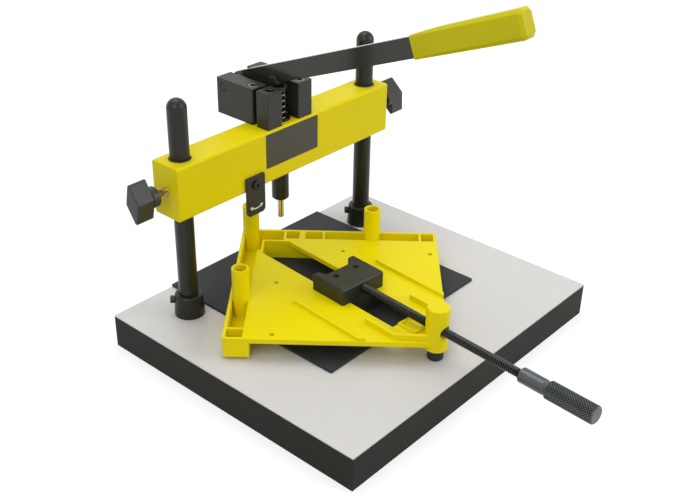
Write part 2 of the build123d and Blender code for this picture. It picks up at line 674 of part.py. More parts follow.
swing_head_seat = swing_face.offset(SWING_WASHER_T + SWING_T + SWING_PLAY)
with BuildPart() as swing_screw:
    with BuildSketch(swing_head_seat):
        Circle(SWING_HEAD_R)
    extrude(amount=SWING_HEAD_H)
    chamfer(swing_screw.edges().filter_by(GeomType.CIRCLE).sort_by(Axis.Y)[0], EDGE_BREAK)
    with BuildSketch(swing_face):
        Circle(SWING_HUB_R)
    extrude(amount=SWING_WASHER_T + SWING_T + SWING_PLAY)
    with BuildSketch(swing_face):
        Circle(SWING_SCREW_R)
    extrude(amount=-BEAM_WALL)
    with BuildSketch(swing_head_seat.offset(SWING_HEAD_H)):
        RegularPolygon(SWING_KEY / 2, 6, major_radius=False)
    extrude(amount=-SWING_KEY_DEPTH, mode=Mode.SUBTRACT)
swing_screw.part.label = "swing_screw"
export_step(swing_screw.part, "parts/swing_screw.step")

# ---- corner tray --------------------------------------------------------------------------


def channel_point(side, along, inset):
    """A point of a channel: along its outer edge from the open corner, and in from that edge."""
    return (
        side * (HALF_DIAGONAL - (along + inset) / math.sqrt(2)),
        (along - inset) / math.sqrt(2),
    )


def pocket_outline(side, start, end, width):
    """The four corners of a pocket that lies behind a channel's outer wall."""
    return (
        channel_point(side, start, TRAY_WALL),
        channel_point(side, end, TRAY_WALL),
        channel_point(side, end, TRAY_WALL + width),
        channel_point(side, start, TRAY_WALL + width),
    )


def pockets(side_name):
    """Where the pockets of a channel start and end, and how wide each is."""
    ribs = CHANNEL_RIBS[side_name]
    starts = [TRAY_WALL] + [place + thick / 2 for place, thick in ribs]
    ends = [place - thick / 2 for place, thick in ribs] + [TRAY_SIDE - TRAY_WALL]
    plain = [(start, end, POCKET_W) for start, end in zip(starts, ends)]
    return plain + [(CORNER_POCKET_START, TRAY_SIDE - TRAY_WALL, CORNER_POCKET_W)]


leg_points = [channel_point(side, LEG_ALONG, LEG_INSET) for _, side in SIDES]
leg_points.append((0, BACK_LEG_Y))
deck_holes = [(side * x, y) for _, side in SIDES for x, y in DECK_HOLES]

with BuildPart() as tray:
    # the two channels behind the fences, which meet at the back corner
    with BuildSketch(tray_plane) as channels:
        with BuildLine():
            Polyline(
                channel_point(-1, 0, 0),
                channel_point(-1, TRAY_SIDE, 0),
                channel_point(1, 0, 0),
                channel_point(1, 0, CHANNEL_W),
                (0, FENCE_Y),
                channel_point(-1, 0, CHANNEL_W),
                close=True,
            )
        make_face()
        fillet(channels.vertices().sort_by(Axis.X)[0], TRAY_CORNER_R)
        fillet(channels.vertices().sort_by(Axis.X)[-1], TRAY_CORNER_R)
        fillet(channels.vertices().sort_by(Axis.Y)[-1], TRAY_CORNER_R)
    extrude(amount=DECK_Z)
    for side_name, side in SIDES:
        for start, end, width in pockets(side_name):
            with BuildSketch(tray_plane.offset(DECK_Z)):
                with BuildLine():
                    Polyline(*pocket_outline(side, start, end, width), close=True)
                make_face()
            extrude(amount=CHANNEL_FLOOR - DECK_Z, mode=Mode.SUBTRACT)
    # the deck, rounded around the boss
    with BuildSketch(tray_plane.offset(DECK_UNDER)) as deck:
        with BuildLine():
            Polyline(
                channel_point(-1, 0, CHANNEL_W),
                (0, FENCE_Y),
                channel_point(1, 0, CHANNEL_W),
                (0, -HALF_DIAGONAL),
                close=True,
            )
        make_face()
        fillet(deck.vertices().sort_by(Axis.Y)[0], BOSS_R)
    extrude(amount=DECK_T)
    # three legs behind the fences and the boss at the front, all cut to one height
    with BuildSketch(tray_plane):
        with Locations(*leg_points):
            Circle(LEG_R)
    extrude(amount=LEG_TOP)
    with BuildSketch(tray_plane.offset(BOSS_BOTTOM)):
        with Locations((0, BOSS_Y)):
            Circle(BOSS_R)
    extrude(amount=BOSS_TOP - BOSS_BOTTOM)
    boss_point = tray_plane.from_local_coords((0, BOSS_Y, BOSS_TOP))
    fillet(tray.edges().filter_by(GeomType.CIRCLE).sort_by_distance(boss_point)[0], BOSS_EDGE_R)
    # ribs on the deck, guide walls that close in on the boss, and a rim under the screw
    with BuildSketch(tray_plane.offset(DECK_Z)):
        for _, side in SIDES:
            inner = side * (DECK_RIB_X - DECK_RIB_W / 2)
            outer = side * (DECK_RIB_X + DECK_RIB_W / 2)
            with BuildLine():
                Polyline(
                    (inner, 0),
                    (outer, 0),
                    (outer, abs(outer) - HALF_DIAGONAL),
                    (inner, abs(inner) - HALF_DIAGONAL),
                    close=True,
                )
            make_face()
    extrude(amount=DECK_RIB_H)
    with BuildSketch(tray_plane.offset(DECK_Z)):
        for _, side in SIDES:
            with BuildLine():
                Polyline(
                    (side * GUIDE_X, GUIDE_BACK),
                    (side * GUIDE_X, GUIDE_BEND),
                    (side * GUIDE_END_X, BOSS_Y),
                )
            trace(line_width=GUIDE_W)
    extrude(amount=GUIDE_H)
    with BuildSketch(tray_plane.offset(DECK_Z)):
        with Locations((0, WINDOW_FRONT - RIM_L / 2 - RIM_SETBACK)):
            Rectangle(RIM_W, RIM_L)
            Rectangle(RIM_W - 2 * RIM_WALL, RIM_L - 2 * RIM_WALL, mode=Mode.SUBTRACT)
    extrude(amount=RIM_H)
    # openings: the window that the clamp runs in, bores, and small holes
    with BuildSketch(tray_plane.offset(DECK_Z)):
        half = WINDOW_W / 2
        with BuildLine():
            Polyline(
                (-half, WINDOW_FRONT),
                (-half, FENCE_Y - half),
                (0, FENCE_Y),
                (half, FENCE_Y - half),
                (half, WINDOW_FRONT),
                close=True,
            )
        make_face()
        with Locations(*deck_holes):
            Circle(DECK_HOLE_R)
    extrude(amount=-DECK_T, mode=Mode.SUBTRACT)
    with BuildSketch(tray_plane.offset(LEG_TOP)):
        with Locations(*leg_points):
            Circle(LEG_BORE_R)
    extrude(amount=CHANNEL_FLOOR - LEG_TOP, mode=Mode.SUBTRACT)
    with BuildSketch(screw_plane(BOSS_Y)):
        Circle(NUT_R)
    extrude(amount=BOSS_R, both=True, mode=Mode.SUBTRACT)
tray.part.label = "tray"
export_step(tray.part, "parts/tray.step")

with BuildPart() as tray_foot:
    with BuildSketch(tray_plane.offset(-MAT_T)):
        with Locations((0, BOSS_Y)):
            Circle(FOOT_R)
    extrude(amount=BOSS_BOTTOM + MAT_T)
    chamfer(tray_foot.edges().filter_by(GeomType.CIRCLE).sort_by(Axis.Z)[0], FOOT_CHAMFER)
tray_foot.part.label = "tray_foot"
export_step(tray_foot.part, "parts/tray_foot.step")

with BuildPart() as boss_nut:
    with BuildSketch(screw_plane(BOSS_Y)):
        Circle(NUT_R)
        Circle(SCREW_R + RUNNING_FIT, mode=Mode.SUBTRACT)
    extrude(amount=NUT_L / 2, both=True)
boss_nut.part.label = "boss_nut"
export_step(boss_nut.part, "parts/boss_nut.step")

# ---- clamp: a block over the deck, a V-nosed shoe under it, joined through the window -----

BLOCK_BOTTOM = DECK_Z + BLOCK_GAP
NECK_BOTTOM = DECK_UNDER - SHOE_GAP
SCREW_SEAT_Z = BLOCK_TOP - M3_HEAD_H - M3_SINK
shoe_screw_points = [(side * SHOE_SCREW_X, SHOE_SCREW_Y) for _, side in SIDES]

with BuildPart() as clamp_block:
    with BuildSketch(tray_plane.offset(BLOCK_BOTTOM)) as block_outline:
        with BuildLine():
            Polyline(
                (-BLOCK_W / 2, BLOCK_FRONT),
                (-BLOCK_W / 2, PRONG_Y),
                (PRONG_W - BLOCK_W / 2, PRONG_Y),
                (-RECESS_W / 2, RECESS_Y),
                (RECESS_W / 2, RECESS_Y),
                (BLOCK_W / 2 - PRONG_W, PRONG_Y),
                (BLOCK_W / 2, PRONG_Y),
                (BLOCK_W / 2, BLOCK_FRONT),
                close=True,
            )
        make_face()
        fillet(block_outline.vertices(), BLOCK_CORNER_R)
    extrude(amount=BLOCK_TOP - BLOCK_BOTTOM)
    chamfer(clamp_block.faces().sort_by(Axis.Z)[-1].edges(), BLOCK_EDGE)
    with BuildSketch(tray_plane.offset(BLOCK_TOP)):
        with Locations(*shoe_screw_points):
            Circle(M3_HEAD_R + ROD_END_GAP)
    extrude(amount=SCREW_SEAT_Z - BLOCK_TOP, mode=Mode.SUBTRACT)
    with BuildSketch(tray_plane.offset(BLOCK_TOP)):
        with Locations(*shoe_screw_points):
            Circle(M3_R)
    extrude(amount=BLOCK_BOTTOM - BLOCK_TOP, mode=Mode.SUBTRACT)
    with BuildSketch(screw_plane(ROD_INNER + ROD_END_GAP)):
        Circle(SCREW_R + RUNNING_FIT)
    extrude(amount=ROD_INNER + ROD_END_GAP - BLOCK_FRONT, mode=Mode.SUBTRACT)
clamp_block.part.label = "clamp_block"
export_step(clamp_block.part, "parts/clamp_block.step")

with BuildPart() as clamp_shoe:
    with BuildSketch(tray_plane.offset(SHOE_BOTTOM)):
        with BuildLine():
            Polyline(
                (-SHOE_W / 2, BLOCK_FRONT),
                (-SHOE_W / 2, SHOE_APEX - SHOE_W / 2),
                (0, SHOE_APEX),
                (SHOE_W / 2, SHOE_APEX - SHOE_W / 2),
                (SHOE_W / 2, BLOCK_FRONT),
                close=True,
            )
        make_face()
    extrude(amount=NECK_BOTTOM - SHOE_BOTTOM)
    with BuildSketch(tray_plane.offset(NECK_BOTTOM)):
        with BuildLine():
            Polyline(
                (-NECK_W / 2, BLOCK_FRONT),
                (-NECK_W / 2, SHOE_APEX - NECK_W / 2),
                (0, SHOE_APEX),
                (NECK_W / 2, SHOE_APEX - NECK_W / 2),
                (NECK_W / 2, BLOCK_FRONT),
                close=True,
            )
        make_face()
    extrude(amount=BLOCK_BOTTOM - NECK_BOTTOM)
    with BuildSketch(tray_plane.offset(BLOCK_BOTTOM)):
        with Locations(*shoe_screw_points):
            Circle(M3_R)
    extrude(amount=-SHOE_SCREW_DEPTH, mode=Mode.SUBTRACT)
clamp_shoe.part.label = "clamp_shoe"
export_step(clamp_shoe.part, "parts/clamp_shoe.step")

shoe_screw_seats = [
    Plane(
        origin=tray_plane.from_local_coords((x, y, SCREW_SEAT_Z)),
        x_dir=tray_plane.x_dir,
        z_dir=(0, 0, 1),
    )
    for x, y in shoe_screw_points
]
shoe_screw_length = SCREW_SEAT_Z - BLOCK_BOTTOM + SHOE_SCREW_DEPTH - SOCKET_CLEARANCE
shoe_screws = cap_screws(
    shoe_screw_seats, M3_HEAD_R, M3_HEAD_H, M3_R, shoe_screw_length, M3_KEY
)
shoe_screws.part.label = "shoe_screws"
export_step(shoe_screws.part, "parts/shoe_screws.step")

with BuildPart() as screw_rod:
    with BuildSketch(screw_plane(ROD_INNER)):
        Circle(SCREW_R)
    extrude(amount=ROD_INNER - ROD_OUTER)
    chamfer(screw_rod.edges().filter_by(GeomType.CIRCLE), EDGE_BREAK)
screw_rod.part.label = "screw_rod"
export_step(screw_rod.part, "parts/screw_rod.step")

screw_handle = turned_on_screw(
    (
        (SCREW_R, HANDLE_START),
        (HANDLE_NECK_R - HANDLE_BEVEL, HANDLE_START),
        (HANDLE_NECK_R, HANDLE_START - HANDLE_BEVEL),
        (HANDLE_NECK_R, HANDLE_KNURL + 2 * HANDLE_GROOVE_L),
        (HANDLE_GROOVE_R, HANDLE_KNURL + HANDLE_GROOVE_L),
        (HANDLE_GROOVE_R, HANDLE_KNURL),
        (HANDLE_R - HANDLE_BEVEL, HANDLE_KNURL),
        (HANDLE_R, HANDLE_KNURL - HANDLE_BEVEL),
        (HANDLE_R, HANDLE_END + HANDLE_BEVEL),
        (HANDLE_R - HANDLE_BEVEL, HANDLE_END),
        (0, HANDLE_END),
        (0, ROD_OUTER),
        (SCREW_R, ROD_OUTER),
    )
)
screw_handle.part.label = "screw_handle"
export_step(screw_handle.part, "parts/screw_handle.step")
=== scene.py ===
import math

import bpy
from mathutils import Matrix, Vector


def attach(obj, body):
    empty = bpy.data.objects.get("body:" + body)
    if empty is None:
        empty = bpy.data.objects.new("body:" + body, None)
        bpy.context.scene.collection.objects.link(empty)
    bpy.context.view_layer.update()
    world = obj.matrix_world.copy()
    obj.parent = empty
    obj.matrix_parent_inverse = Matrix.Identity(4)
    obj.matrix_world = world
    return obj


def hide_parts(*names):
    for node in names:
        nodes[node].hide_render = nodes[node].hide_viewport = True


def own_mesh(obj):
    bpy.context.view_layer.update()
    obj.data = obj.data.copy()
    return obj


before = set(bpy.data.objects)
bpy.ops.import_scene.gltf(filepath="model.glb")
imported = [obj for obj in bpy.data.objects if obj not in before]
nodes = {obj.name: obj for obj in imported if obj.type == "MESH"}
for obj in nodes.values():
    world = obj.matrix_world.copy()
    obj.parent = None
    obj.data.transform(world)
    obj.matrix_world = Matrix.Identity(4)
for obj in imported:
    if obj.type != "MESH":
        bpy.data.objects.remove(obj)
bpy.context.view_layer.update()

# ---- Studio --------------------------------------------------------------------------------
# The press stands on a pale seamless sheet, lit by three soft boxes and a bright room.
# The camera looks down at it from the operator's left.

scene = bpy.context.scene
scene.view_settings.view_transform = "Standard"


def look_along(location, back, roll=0.0):
    """A pose for a lamp or camera at location, with its back along the given direction."""
    back = Vector(back).normalized()
    right = Vector((0, 0, 1)).cross(back).normalized()
    up = back.cross(right)
    turned_right = math.cos(roll) * right + math.sin(roll) * up
    turned_up = math.cos(roll) * up - math.sin(roll) * right
    pose = Matrix((turned_right, turned_up, back)).transposed().to_4x4()
    pose.translation = location
    return pose


CAMERA_AZIMUTH, CAMERA_ELEVATION = math.radians(-48.82), math.radians(29.95)
CAMERA_ROLL = math.radians(0.95)
CAMERA_OFFSET = Vector((-0.01673, 0.07334, 0.9784))    # right, up and back from the origin
SENSOR_WIDTH, FOCAL_LENGTH, CLIP_START = 36.0, 55.77, 0.01

camera_back = Vector((
    math.sin(CAMERA_AZIMUTH) * math.cos(CAMERA_ELEVATION),
    -math.cos(CAMERA_AZIMUTH) * math.cos(CAMERA_ELEVATION),
    math.sin(CAMERA_ELEVATION),
))
camera_pose = look_along((0, 0, 0), camera_back, CAMERA_ROLL)
camera_pose.translation = camera_pose.to_3x3() @ CAMERA_OFFSET
camera = bpy.data.objects.new("camera", bpy.data.cameras.new("camera"))
camera.data.sensor_width = SENSOR_WIDTH
camera.data.lens = FOCAL_LENGTH
camera.data.clip_start = CLIP_START
camera.matrix_world = camera_pose
scene.collection.objects.link(camera)
scene.camera = camera

# name, place, size and watts of each soft box; all face the middle of the press
SOFT_BOXES = (
    ("soft_box_left", (-1.5, -0.5, 1.3), 1.3, 10.0),
    ("soft_box_right", (0.9, -1.5, 1.0), 1.2, 13.0),
    ("soft_box_top", (0.1, 0.5, 1.7), 1.2, 12.0),
)
PRESS_MIDDLE = Vector((0, 0, 0.1))
for name, place, size, watts in SOFT_BOXES:
    lamp = bpy.data.lights.new(name, "AREA")
    lamp.size = size
    lamp.energy = watts
    soft_box = bpy.data.objects.new(name, lamp)
    soft_box.matrix_world = look_along(place, Vector(place) - PRESS_MIDDLE)
    scene.collection.objects.link(soft_box)


def shows_backdrop(tree):
    """1 for a ray that looks at the backdrop, straight or by way of a gloss or glass, or else 0."""
    path = tree.nodes.new("ShaderNodeLightPath")
    looks = path.outputs["Is Camera Ray"]
    for way in ("Is Glossy Ray", "Is Transmission Ray"):
        either = tree.nodes.new("ShaderNodeMath")
        either.operation = "MAXIMUM"
        tree.links.new(looks, either.inputs[0])
        tree.links.new(path.outputs[way], either.inputs[1])
        looks = either.outputs["Value"]
    return looks


ROOM_LIGHT, ROOM_SEEN = 0.45, 1.0
WHITE = (1, 1, 1, 1)

room = bpy.data.worlds.new("room")
room.use_nodes = True
scene.world = room
room_nodes, room_links = room.node_tree.nodes, room.node_tree.links
seen_room = room_nodes.new("ShaderNodeBackground")
seen_room.inputs["Color"].default_value = WHITE
seen_room.inputs["Strength"].default_value = ROOM_SEEN
lit_room = room_nodes["Background"]
lit_room.inputs["Color"].default_value = WHITE
lit_room.inputs["Strength"].default_value = ROOM_LIGHT
room_choice = room_nodes.new("ShaderNodeMixShader")
room_links.new(shows_backdrop(room.node_tree), room_choice.inputs["Fac"])
room_links.new(lit_room.outputs["Background"], room_choice.inputs[1])
room_links.new(seen_room.outputs["Background"], room_choice.inputs[2])
room_links.new(room_choice.outputs["Shader"], room_nodes["World Output"].inputs["Surface"])

# The sheet shows whiter with distance, so that it meets the room without a horizon.
SHEET_SIZE, SHEET_GREY = 12, (0.5, 0.5, 0.5, 1)
GLOW_START, GLOW_END = 0.4, 1.6               # distances from the middle of the sheet
GLOW_NEAR, GLOW_FAR = 0.62, 0.9

bpy.ops.object.select_all(action="DESELECT")
bpy.ops.mesh.primitive_plane_add(size=SHEET_SIZE, location=(0, 0, 0))
floor = bpy.context.object
floor.name = "floor"
paper = bpy.data.materials.new("seamless_paper")
paper.use_nodes = True
paper_nodes, paper_links = paper.node_tree.nodes, paper.node_tree.links
paper_shade = paper_nodes.new("ShaderNodeBsdfDiffuse")
paper_shade.inputs["Color"].default_value = SHEET_GREY
paper_glow = paper_nodes.new("ShaderNodeEmission")
paper_place = paper_nodes.new("ShaderNodeTexCoord")
paper_reach = paper_nodes.new("ShaderNodeVectorMath")
paper_reach.operation = "LENGTH"
paper_white = paper_nodes.new("ShaderNodeMapRange")
paper_white.inputs["From Min"].default_value = GLOW_START
paper_white.inputs["From Max"].default_value = GLOW_END
paper_white.inputs["To Min"].default_value = GLOW_NEAR
paper_white.inputs["To Max"].default_value = GLOW_FAR
paper_seen = paper_nodes.new("ShaderNodeMath")
paper_seen.operation = "MULTIPLY"
paper_sum = paper_nodes.new("ShaderNodeAddShader")
paper_links.new(paper_place.outputs["Object"], paper_reach.inputs[0])
paper_links.new(paper_reach.outputs["Value"], paper_white.inputs["Value"])
paper_links.new(paper_white.outputs["Result"], paper_seen.inputs[1])
paper_links.new(shows_backdrop(paper.node_tree), paper_seen.inputs[0])
paper_links.new(paper_seen.outputs["Value"], paper_glow.inputs["Strength"])
paper_links.new(paper_shade.outputs["BSDF"], paper_sum.inputs[0])
paper_links.new(paper_glow.outputs["Emission"], paper_sum.inputs[1])
paper_links.new(paper_sum.outputs["Shader"], paper_nodes["Material Output"].inputs["Surface"])
floor.data.materials.append(paper)

# ---- Base ----------------------------------------------------------------------------------
# A fibreboard slab with black painted edges, faced with a light laminate. A thin rubber mat
# is glued on it under the press. The slab is sawn, edged and faced before it is drilled.


def node_group(name, inputs, outputs):
    """An empty shader node group with named sockets: (name, kind, default) for each."""
    group = bpy.data.node_groups.new(name, "ShaderNodeTree")
    for socket_name, kind, default in inputs:
        socket = group.interface.new_socket(
            name=socket_name, in_out="INPUT", socket_type="NodeSocket" + kind
        )
        if default is not None:
            socket.default_value = default
    for socket_name, kind in outputs:
        group.interface.new_socket(
            name=socket_name, in_out="OUTPUT", socket_type="NodeSocket" + kind
        )
    return group, group.nodes.new("NodeGroupInput"), group.nodes.new("NodeGroupOutput")


def stretch(group, value, low, high):
    """A value from 0 to 1, drawn out between two others."""
    spread = group.nodes.new("ShaderNodeMapRange")
    group.links.new(value, spread.inputs["Value"])
    group.links.new(low, spread.inputs["To Min"])
    group.links.new(high, spread.inputs["To Max"])
    return spread.outputs["Result"]


CLOUD_DETAIL, GRAIN_DETAIL, GRAIN_DEPTH, EDGE_SAMPLES = 4, 2, 0.0004, 6


def make_fine_surface():
    """Cloudy colour, fine grain and uneven gloss, as on coated metal or moulded plastic."""
    group, given, result = node_group(
        "fine_surface",
        (
            ("Vector", "Vector", None),
            ("Color", "Color", None),
            ("Cloud Color", "Color", None),
            ("Cloud Scale", "Float", 20.0),
            ("Cloud Amount", "Float", 0.5),
            ("Grain Scale", "Float", 900.0),
            ("Gloss Low", "Float", 0.3),
            ("Gloss High", "Float", 0.5),
        ),
        (("Color", "Color"), ("Roughness", "Float"), ("Height", "Float")),
    )
    cloud = group.nodes.new("ShaderNodeTexNoise")
    cloud.inputs["Detail"].default_value = CLOUD_DETAIL
    grain = group.nodes.new("ShaderNodeTexNoise")
    grain.inputs["Detail"].default_value = GRAIN_DETAIL
    for texture, scale in ((cloud, "Cloud Scale"), (grain, "Grain Scale")):
        group.links.new(given.outputs["Vector"], texture.inputs["Vector"])
        group.links.new(given.outputs[scale], texture.inputs["Scale"])
    share = group.nodes.new("ShaderNodeMath")
    share.operation = "MULTIPLY"
    group.links.new(cloud.outputs["Fac"], share.inputs[0])
    group.links.new(given.outputs["Cloud Amount"], share.inputs[1])
    tint = group.nodes.new("ShaderNodeMix")
    tint.data_type = "RGBA"
    group.links.new(share.outputs["Value"], tint.inputs["Factor"])
    group.links.new(given.outputs["Color"], tint.inputs["A"])
    group.links.new(given.outputs["Cloud Color"], tint.inputs["B"])
    gloss = stretch(
        group, cloud.outputs["Fac"], given.outputs["Gloss Low"], given.outputs["Gloss High"]
    )
    group.links.new(tint.outputs["Result"], result.inputs["Color"])
    group.links.new(gloss, result.inputs["Roughness"])
    group.links.new(grain.outputs["Fac"], result.inputs["Height"])
    return group


def make_eased_edge():
    """Shades sharp edges as if they were rounded to the given radius."""
    group, given, result = node_group(
        "eased_edge", (("Radius", "Float", 0.0004),), (("Normal", "Vector"),)
    )
    rounding = group.nodes.new("ShaderNodeBevel")
    rounding.samples = EDGE_SAMPLES
    group.links.new(given.outputs["Radius"], rounding.inputs["Radius"])
    group.links.new(rounding.outputs["Normal"], result.inputs["Normal"])
    return group


fine_surface = make_fine_surface()
eased_edge = make_eased_edge()


def display(red, green, blue):
    """A colour as it shows on a screen, from 0 to 255, as the linear light Blender mixes."""
    linear = [((level / 255 + 0.055) / 1.055) ** 2.4 for level in (red, green, blue)]
    return (*linear, 1)


def finish_material(
    name, color, cloud_color, cloud=(20.0, 0.5), grain=(900.0, 0.05), gloss=(0.3, 0.5),
    metallic=0.0, edge=0.0004, shine=0.3, coat=0.0,
):
    """A material with the fine surface: cloud scale and amount, grain scale and depth, gloss."""
    material = bpy.data.materials.new(name)
    material.use_nodes = True
    tree = material.node_tree
    shader = tree.nodes["Principled BSDF"]
    place = tree.nodes.new("ShaderNodeTexCoord")
    surface = tree.nodes.new("ShaderNodeGroup")
    surface.node_tree = fine_surface
    values = {
        "Color": color, "Cloud Color": cloud_color, "Cloud Scale": cloud[0],
        "Cloud Amount": cloud[1], "Grain Scale": grain[0], "Gloss Low": gloss[0],
        "Gloss High": gloss[1],
    }
    for socket, value in values.items():
        surface.inputs[socket].default_value = value
    edges = tree.nodes.new("ShaderNodeGroup")
    edges.node_tree = eased_edge
    edges.inputs["Radius"].default_value = edge
    bump = tree.nodes.new("ShaderNodeBump")
    bump.inputs["Strength"].default_value = grain[1]
    bump.inputs["Distance"].default_value = GRAIN_DEPTH
    tree.links.new(place.outputs["Object"], surface.inputs["Vector"])
    tree.links.new(surface.outputs["Color"], shader.inputs["Base Color"])
    tree.links.new(surface.outputs["Roughness"], shader.inputs["Roughness"])
    tree.links.new(surface.outputs["Height"], bump.inputs["Height"])
    tree.links.new(edges.outputs["Normal"], bump.inputs["Normal"])
    tree.links.new(bump.outputs["Normal"], shader.inputs["Normal"])
    shader.inputs["Metallic"].default_value = metallic
    shader.inputs["Specular IOR Level"].default_value = shine
    shader.inputs["Coat Weight"].default_value = coat
    shader.inputs["Coat Roughness"].default_value = 0.12
    return material


def dress(material, *names):
    """Gives CAD nodes a material."""
    for name in names:
        nodes[name].material_slots[0].material = material


edge_paint = finish_material(
    "edge_paint", display(25, 25, 20), display(36, 36, 29), cloud=(60.0, 0.7),
    grain=(700.0, 0.25), gloss=(0.42, 0.6), shine=0.12,
)
laminate = finish_material(
    "laminate", display(205, 203, 201), display(221, 219, 218), cloud=(9.0, 0.9),
    grain=(1500.0, 0.06), gloss=(0.34, 0.46),
)
mat_rubber = finish_material(
    "mat_rubber", display(45, 47, 50), display(58, 60, 63), cloud=(30.0, 0.8),
    grain=(1800.0, 0.35), gloss=(0.55, 0.7), shine=0.2,
)
dress(edge_paint, "base_board")
dress(laminate, "base_laminate")
dress(mat_rubber, "base_mat")

# ---- Posts ---------------------------------------------------------------------------------
# Two round steel bars with domed tops, coated black, stand in turned collars. A socket screw
# locks each collar, and a bolt and washer under the board pull the post down.

post_coating = finish_material(
    "post_coating", display(27, 28, 21), display(38, 39, 31), cloud=(40.0, 0.6),
    grain=(900.0, 0.12), gloss=(0.24, 0.36), shine=0.3,
)
dark_steel = finish_material(
    "dark_steel", display(42, 42, 41), display(60, 60, 58), cloud=(80.0, 0.6),
    grain=(1200.0, 0.12), gloss=(0.24, 0.38), metallic=0.6,
)
plated_steel = finish_material(
    "plated_steel", display(190, 190, 192), display(160, 160, 165), cloud=(120.0, 0.5),
    grain=(1500.0, 0.05), gloss=(0.18, 0.32), metallic=1.0,
)
dress(post_coating, "left_post", "right_post", "left_post_collar", "right_post_collar")
dress(dark_steel, "collar_screws")
dress(plated_steel, "post_bolts", "post_washers")

# ---- Beam ----------------------------------------------------------------------------------
# A rectangular steel tube, closed at the ends and powder-coated yellow. Black plastic bushes
# line its two bores, and a bare dark plate is glued on its front.

powder_coat = finish_material(
    "powder_coat", display(230, 211, 4), display(238, 221, 12), cloud=(14.0, 0.7),
    grain=(1100.0, 0.16), gloss=(0.34, 0.44), edge=0.0008, shine=0.12,
)
black_plastic = finish_material(
    "black_plastic", display(42, 43, 42), display(54, 55, 54), cloud=(50.0, 0.6),
    grain=(1400.0, 0.2), gloss=(0.3, 0.44), edge=0.0008, shine=0.4,
)
plate_print = finish_material(
    "plate_print", display(62, 60, 47), display(74, 71, 57), cloud=(25.0, 0.7),
    grain=(2000.0, 0.03), gloss=(0.3, 0.4), edge=0.0002,
)
dress(powder_coat, "beam")
dress(black_plastic, "left_bush", "right_bush")
dress(plate_print, "label_plate")

# ---- Press head ----------------------------------------------------------------------------
# A slotted steel yoke behind and two guide blocks in front, all coated satin black, are held
# down on the beam by polished socket screws. A cross pin with spacers carries the lever.

head_coating = finish_material(
    "head_coating", display(36, 37, 31), display(50, 51, 44), cloud=(35.0, 0.7),
    grain=(1000.0, 0.2), gloss=(0.3, 0.44), edge=0.0007,
)
polished_black = finish_material(
    "polished_black", display(112, 112, 110), display(82, 82, 80), cloud=(90.0, 0.6),
    grain=(1400.0, 0.06), gloss=(0.12, 0.22), metallic=1.0, edge=0.0005,
)
dress(head_coating, "lever_yoke", "left_guide_block", "right_guide_block")
dress(polished_black, "block_screws")
dress(head_coating, "pivot_pin")
dress(dark_steel, "pivot_spacers")

# ---- Plunger -------------------------------------------------------------------------------
# A turned guide through the beam holds the black ram, whose slim driver strikes the nail. A
# bright coil spring round the stem lifts the ram again.

bright_steel = finish_material(
    "bright_steel", display(206, 202, 194), display(184, 180, 171), cloud=(200.0, 0.5),
    grain=(1500.0, 0.05), gloss=(0.12, 0.24), metallic=1.0, edge=0.0002,
)
spring_wire = finish_material(
    "spring_wire", display(140, 140, 138), display(96, 96, 94), cloud=(500.0, 0.9),
    grain=(1500.0, 0.05), gloss=(0.14, 0.3), metallic=1.0, edge=0.00002,
)
dress(dark_steel, "plunger_guide", "plunger_cap")
dress(post_coating, "plunger_ram")
dress(bright_steel, "driver_tip")


WELD_DISTANCE = 0.000005


def wind(piece, pitch, turns, steps):
    """Sweeps a piece's edges up and round the Z axis, welds the turns and closes both ends."""
    helix = piece.modifiers.new("helix", "SCREW")
    helix.axis = "Z"
    helix.angle = 2 * math.pi
    helix.screw_offset = pitch
    helix.iterations = turns
    helix.steps = helix.render_steps = steps
    bpy.ops.object.modifier_apply(modifier=helix.name)
    bpy.ops.object.mode_set(mode="EDIT")
    bpy.ops.mesh.select_all(action="SELECT")
    bpy.ops.mesh.remove_doubles(threshold=WELD_DISTANCE)
    bpy.ops.mesh.fill_holes(sides=0)
    bpy.ops.mesh.select_all(action="SELECT")
    bpy.ops.mesh.normals_make_consistent(inside=False)
    bpy.ops.object.mode_set(mode="OBJECT")


def seat(piece, pose):
    """Moves a piece from its own axis to its place, and leaves its object at the origin."""
    bpy.ops.object.select_all(action="DESELECT")
    piece.select_set(True)
    bpy.context.view_layer.objects.active = piece
    piece.matrix_world = pose @ piece.matrix_world
    bpy.ops.object.transform_apply(location=True, rotation=True, scale=True)


WIRE_RADIUS, WIRE_SIDES = 0.0007, 10
SPRING_RADIUS, SPRING_TURNS, SPRING_STEPS = 0.006, 8, 32
SPRING_LOW, SPRING_HIGH = 0.16575, 0.2093     # middles of the wire at the two ends
SPRING_SEAT = (0, 0.096, 0.165)

bpy.ops.object.select_all(action="DESELECT")
bpy.ops.mesh.primitive_circle_add(
    vertices=WIRE_SIDES, radius=WIRE_RADIUS,
    location=(SPRING_RADIUS, 0, 0), rotation=(math.pi / 2, 0, 0),
)
spring = bpy.context.object
spring.name = "wire_spring"
bpy.ops.object.transform_apply(location=True, rotation=True, scale=True)
wind(spring, (SPRING_HIGH - SPRING_LOW) / SPRING_TURNS, SPRING_TURNS, SPRING_STEPS)
bpy.ops.object.shade_smooth()
seat(spring, Matrix.Translation((SPRING_SEAT[0], SPRING_SEAT[1], SPRING_LOW)))
spring.data.materials.append(spring_wire)
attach(spring, "beam")
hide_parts("return_spring")
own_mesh(spring)

# ---- Lever ---------------------------------------------------------------------------------
# A flat steel bar, coated black, with a short cross pin that presses on the plunger. The grip
# is a bevelled sleeve of yellow-green vinyl pushed over its end.

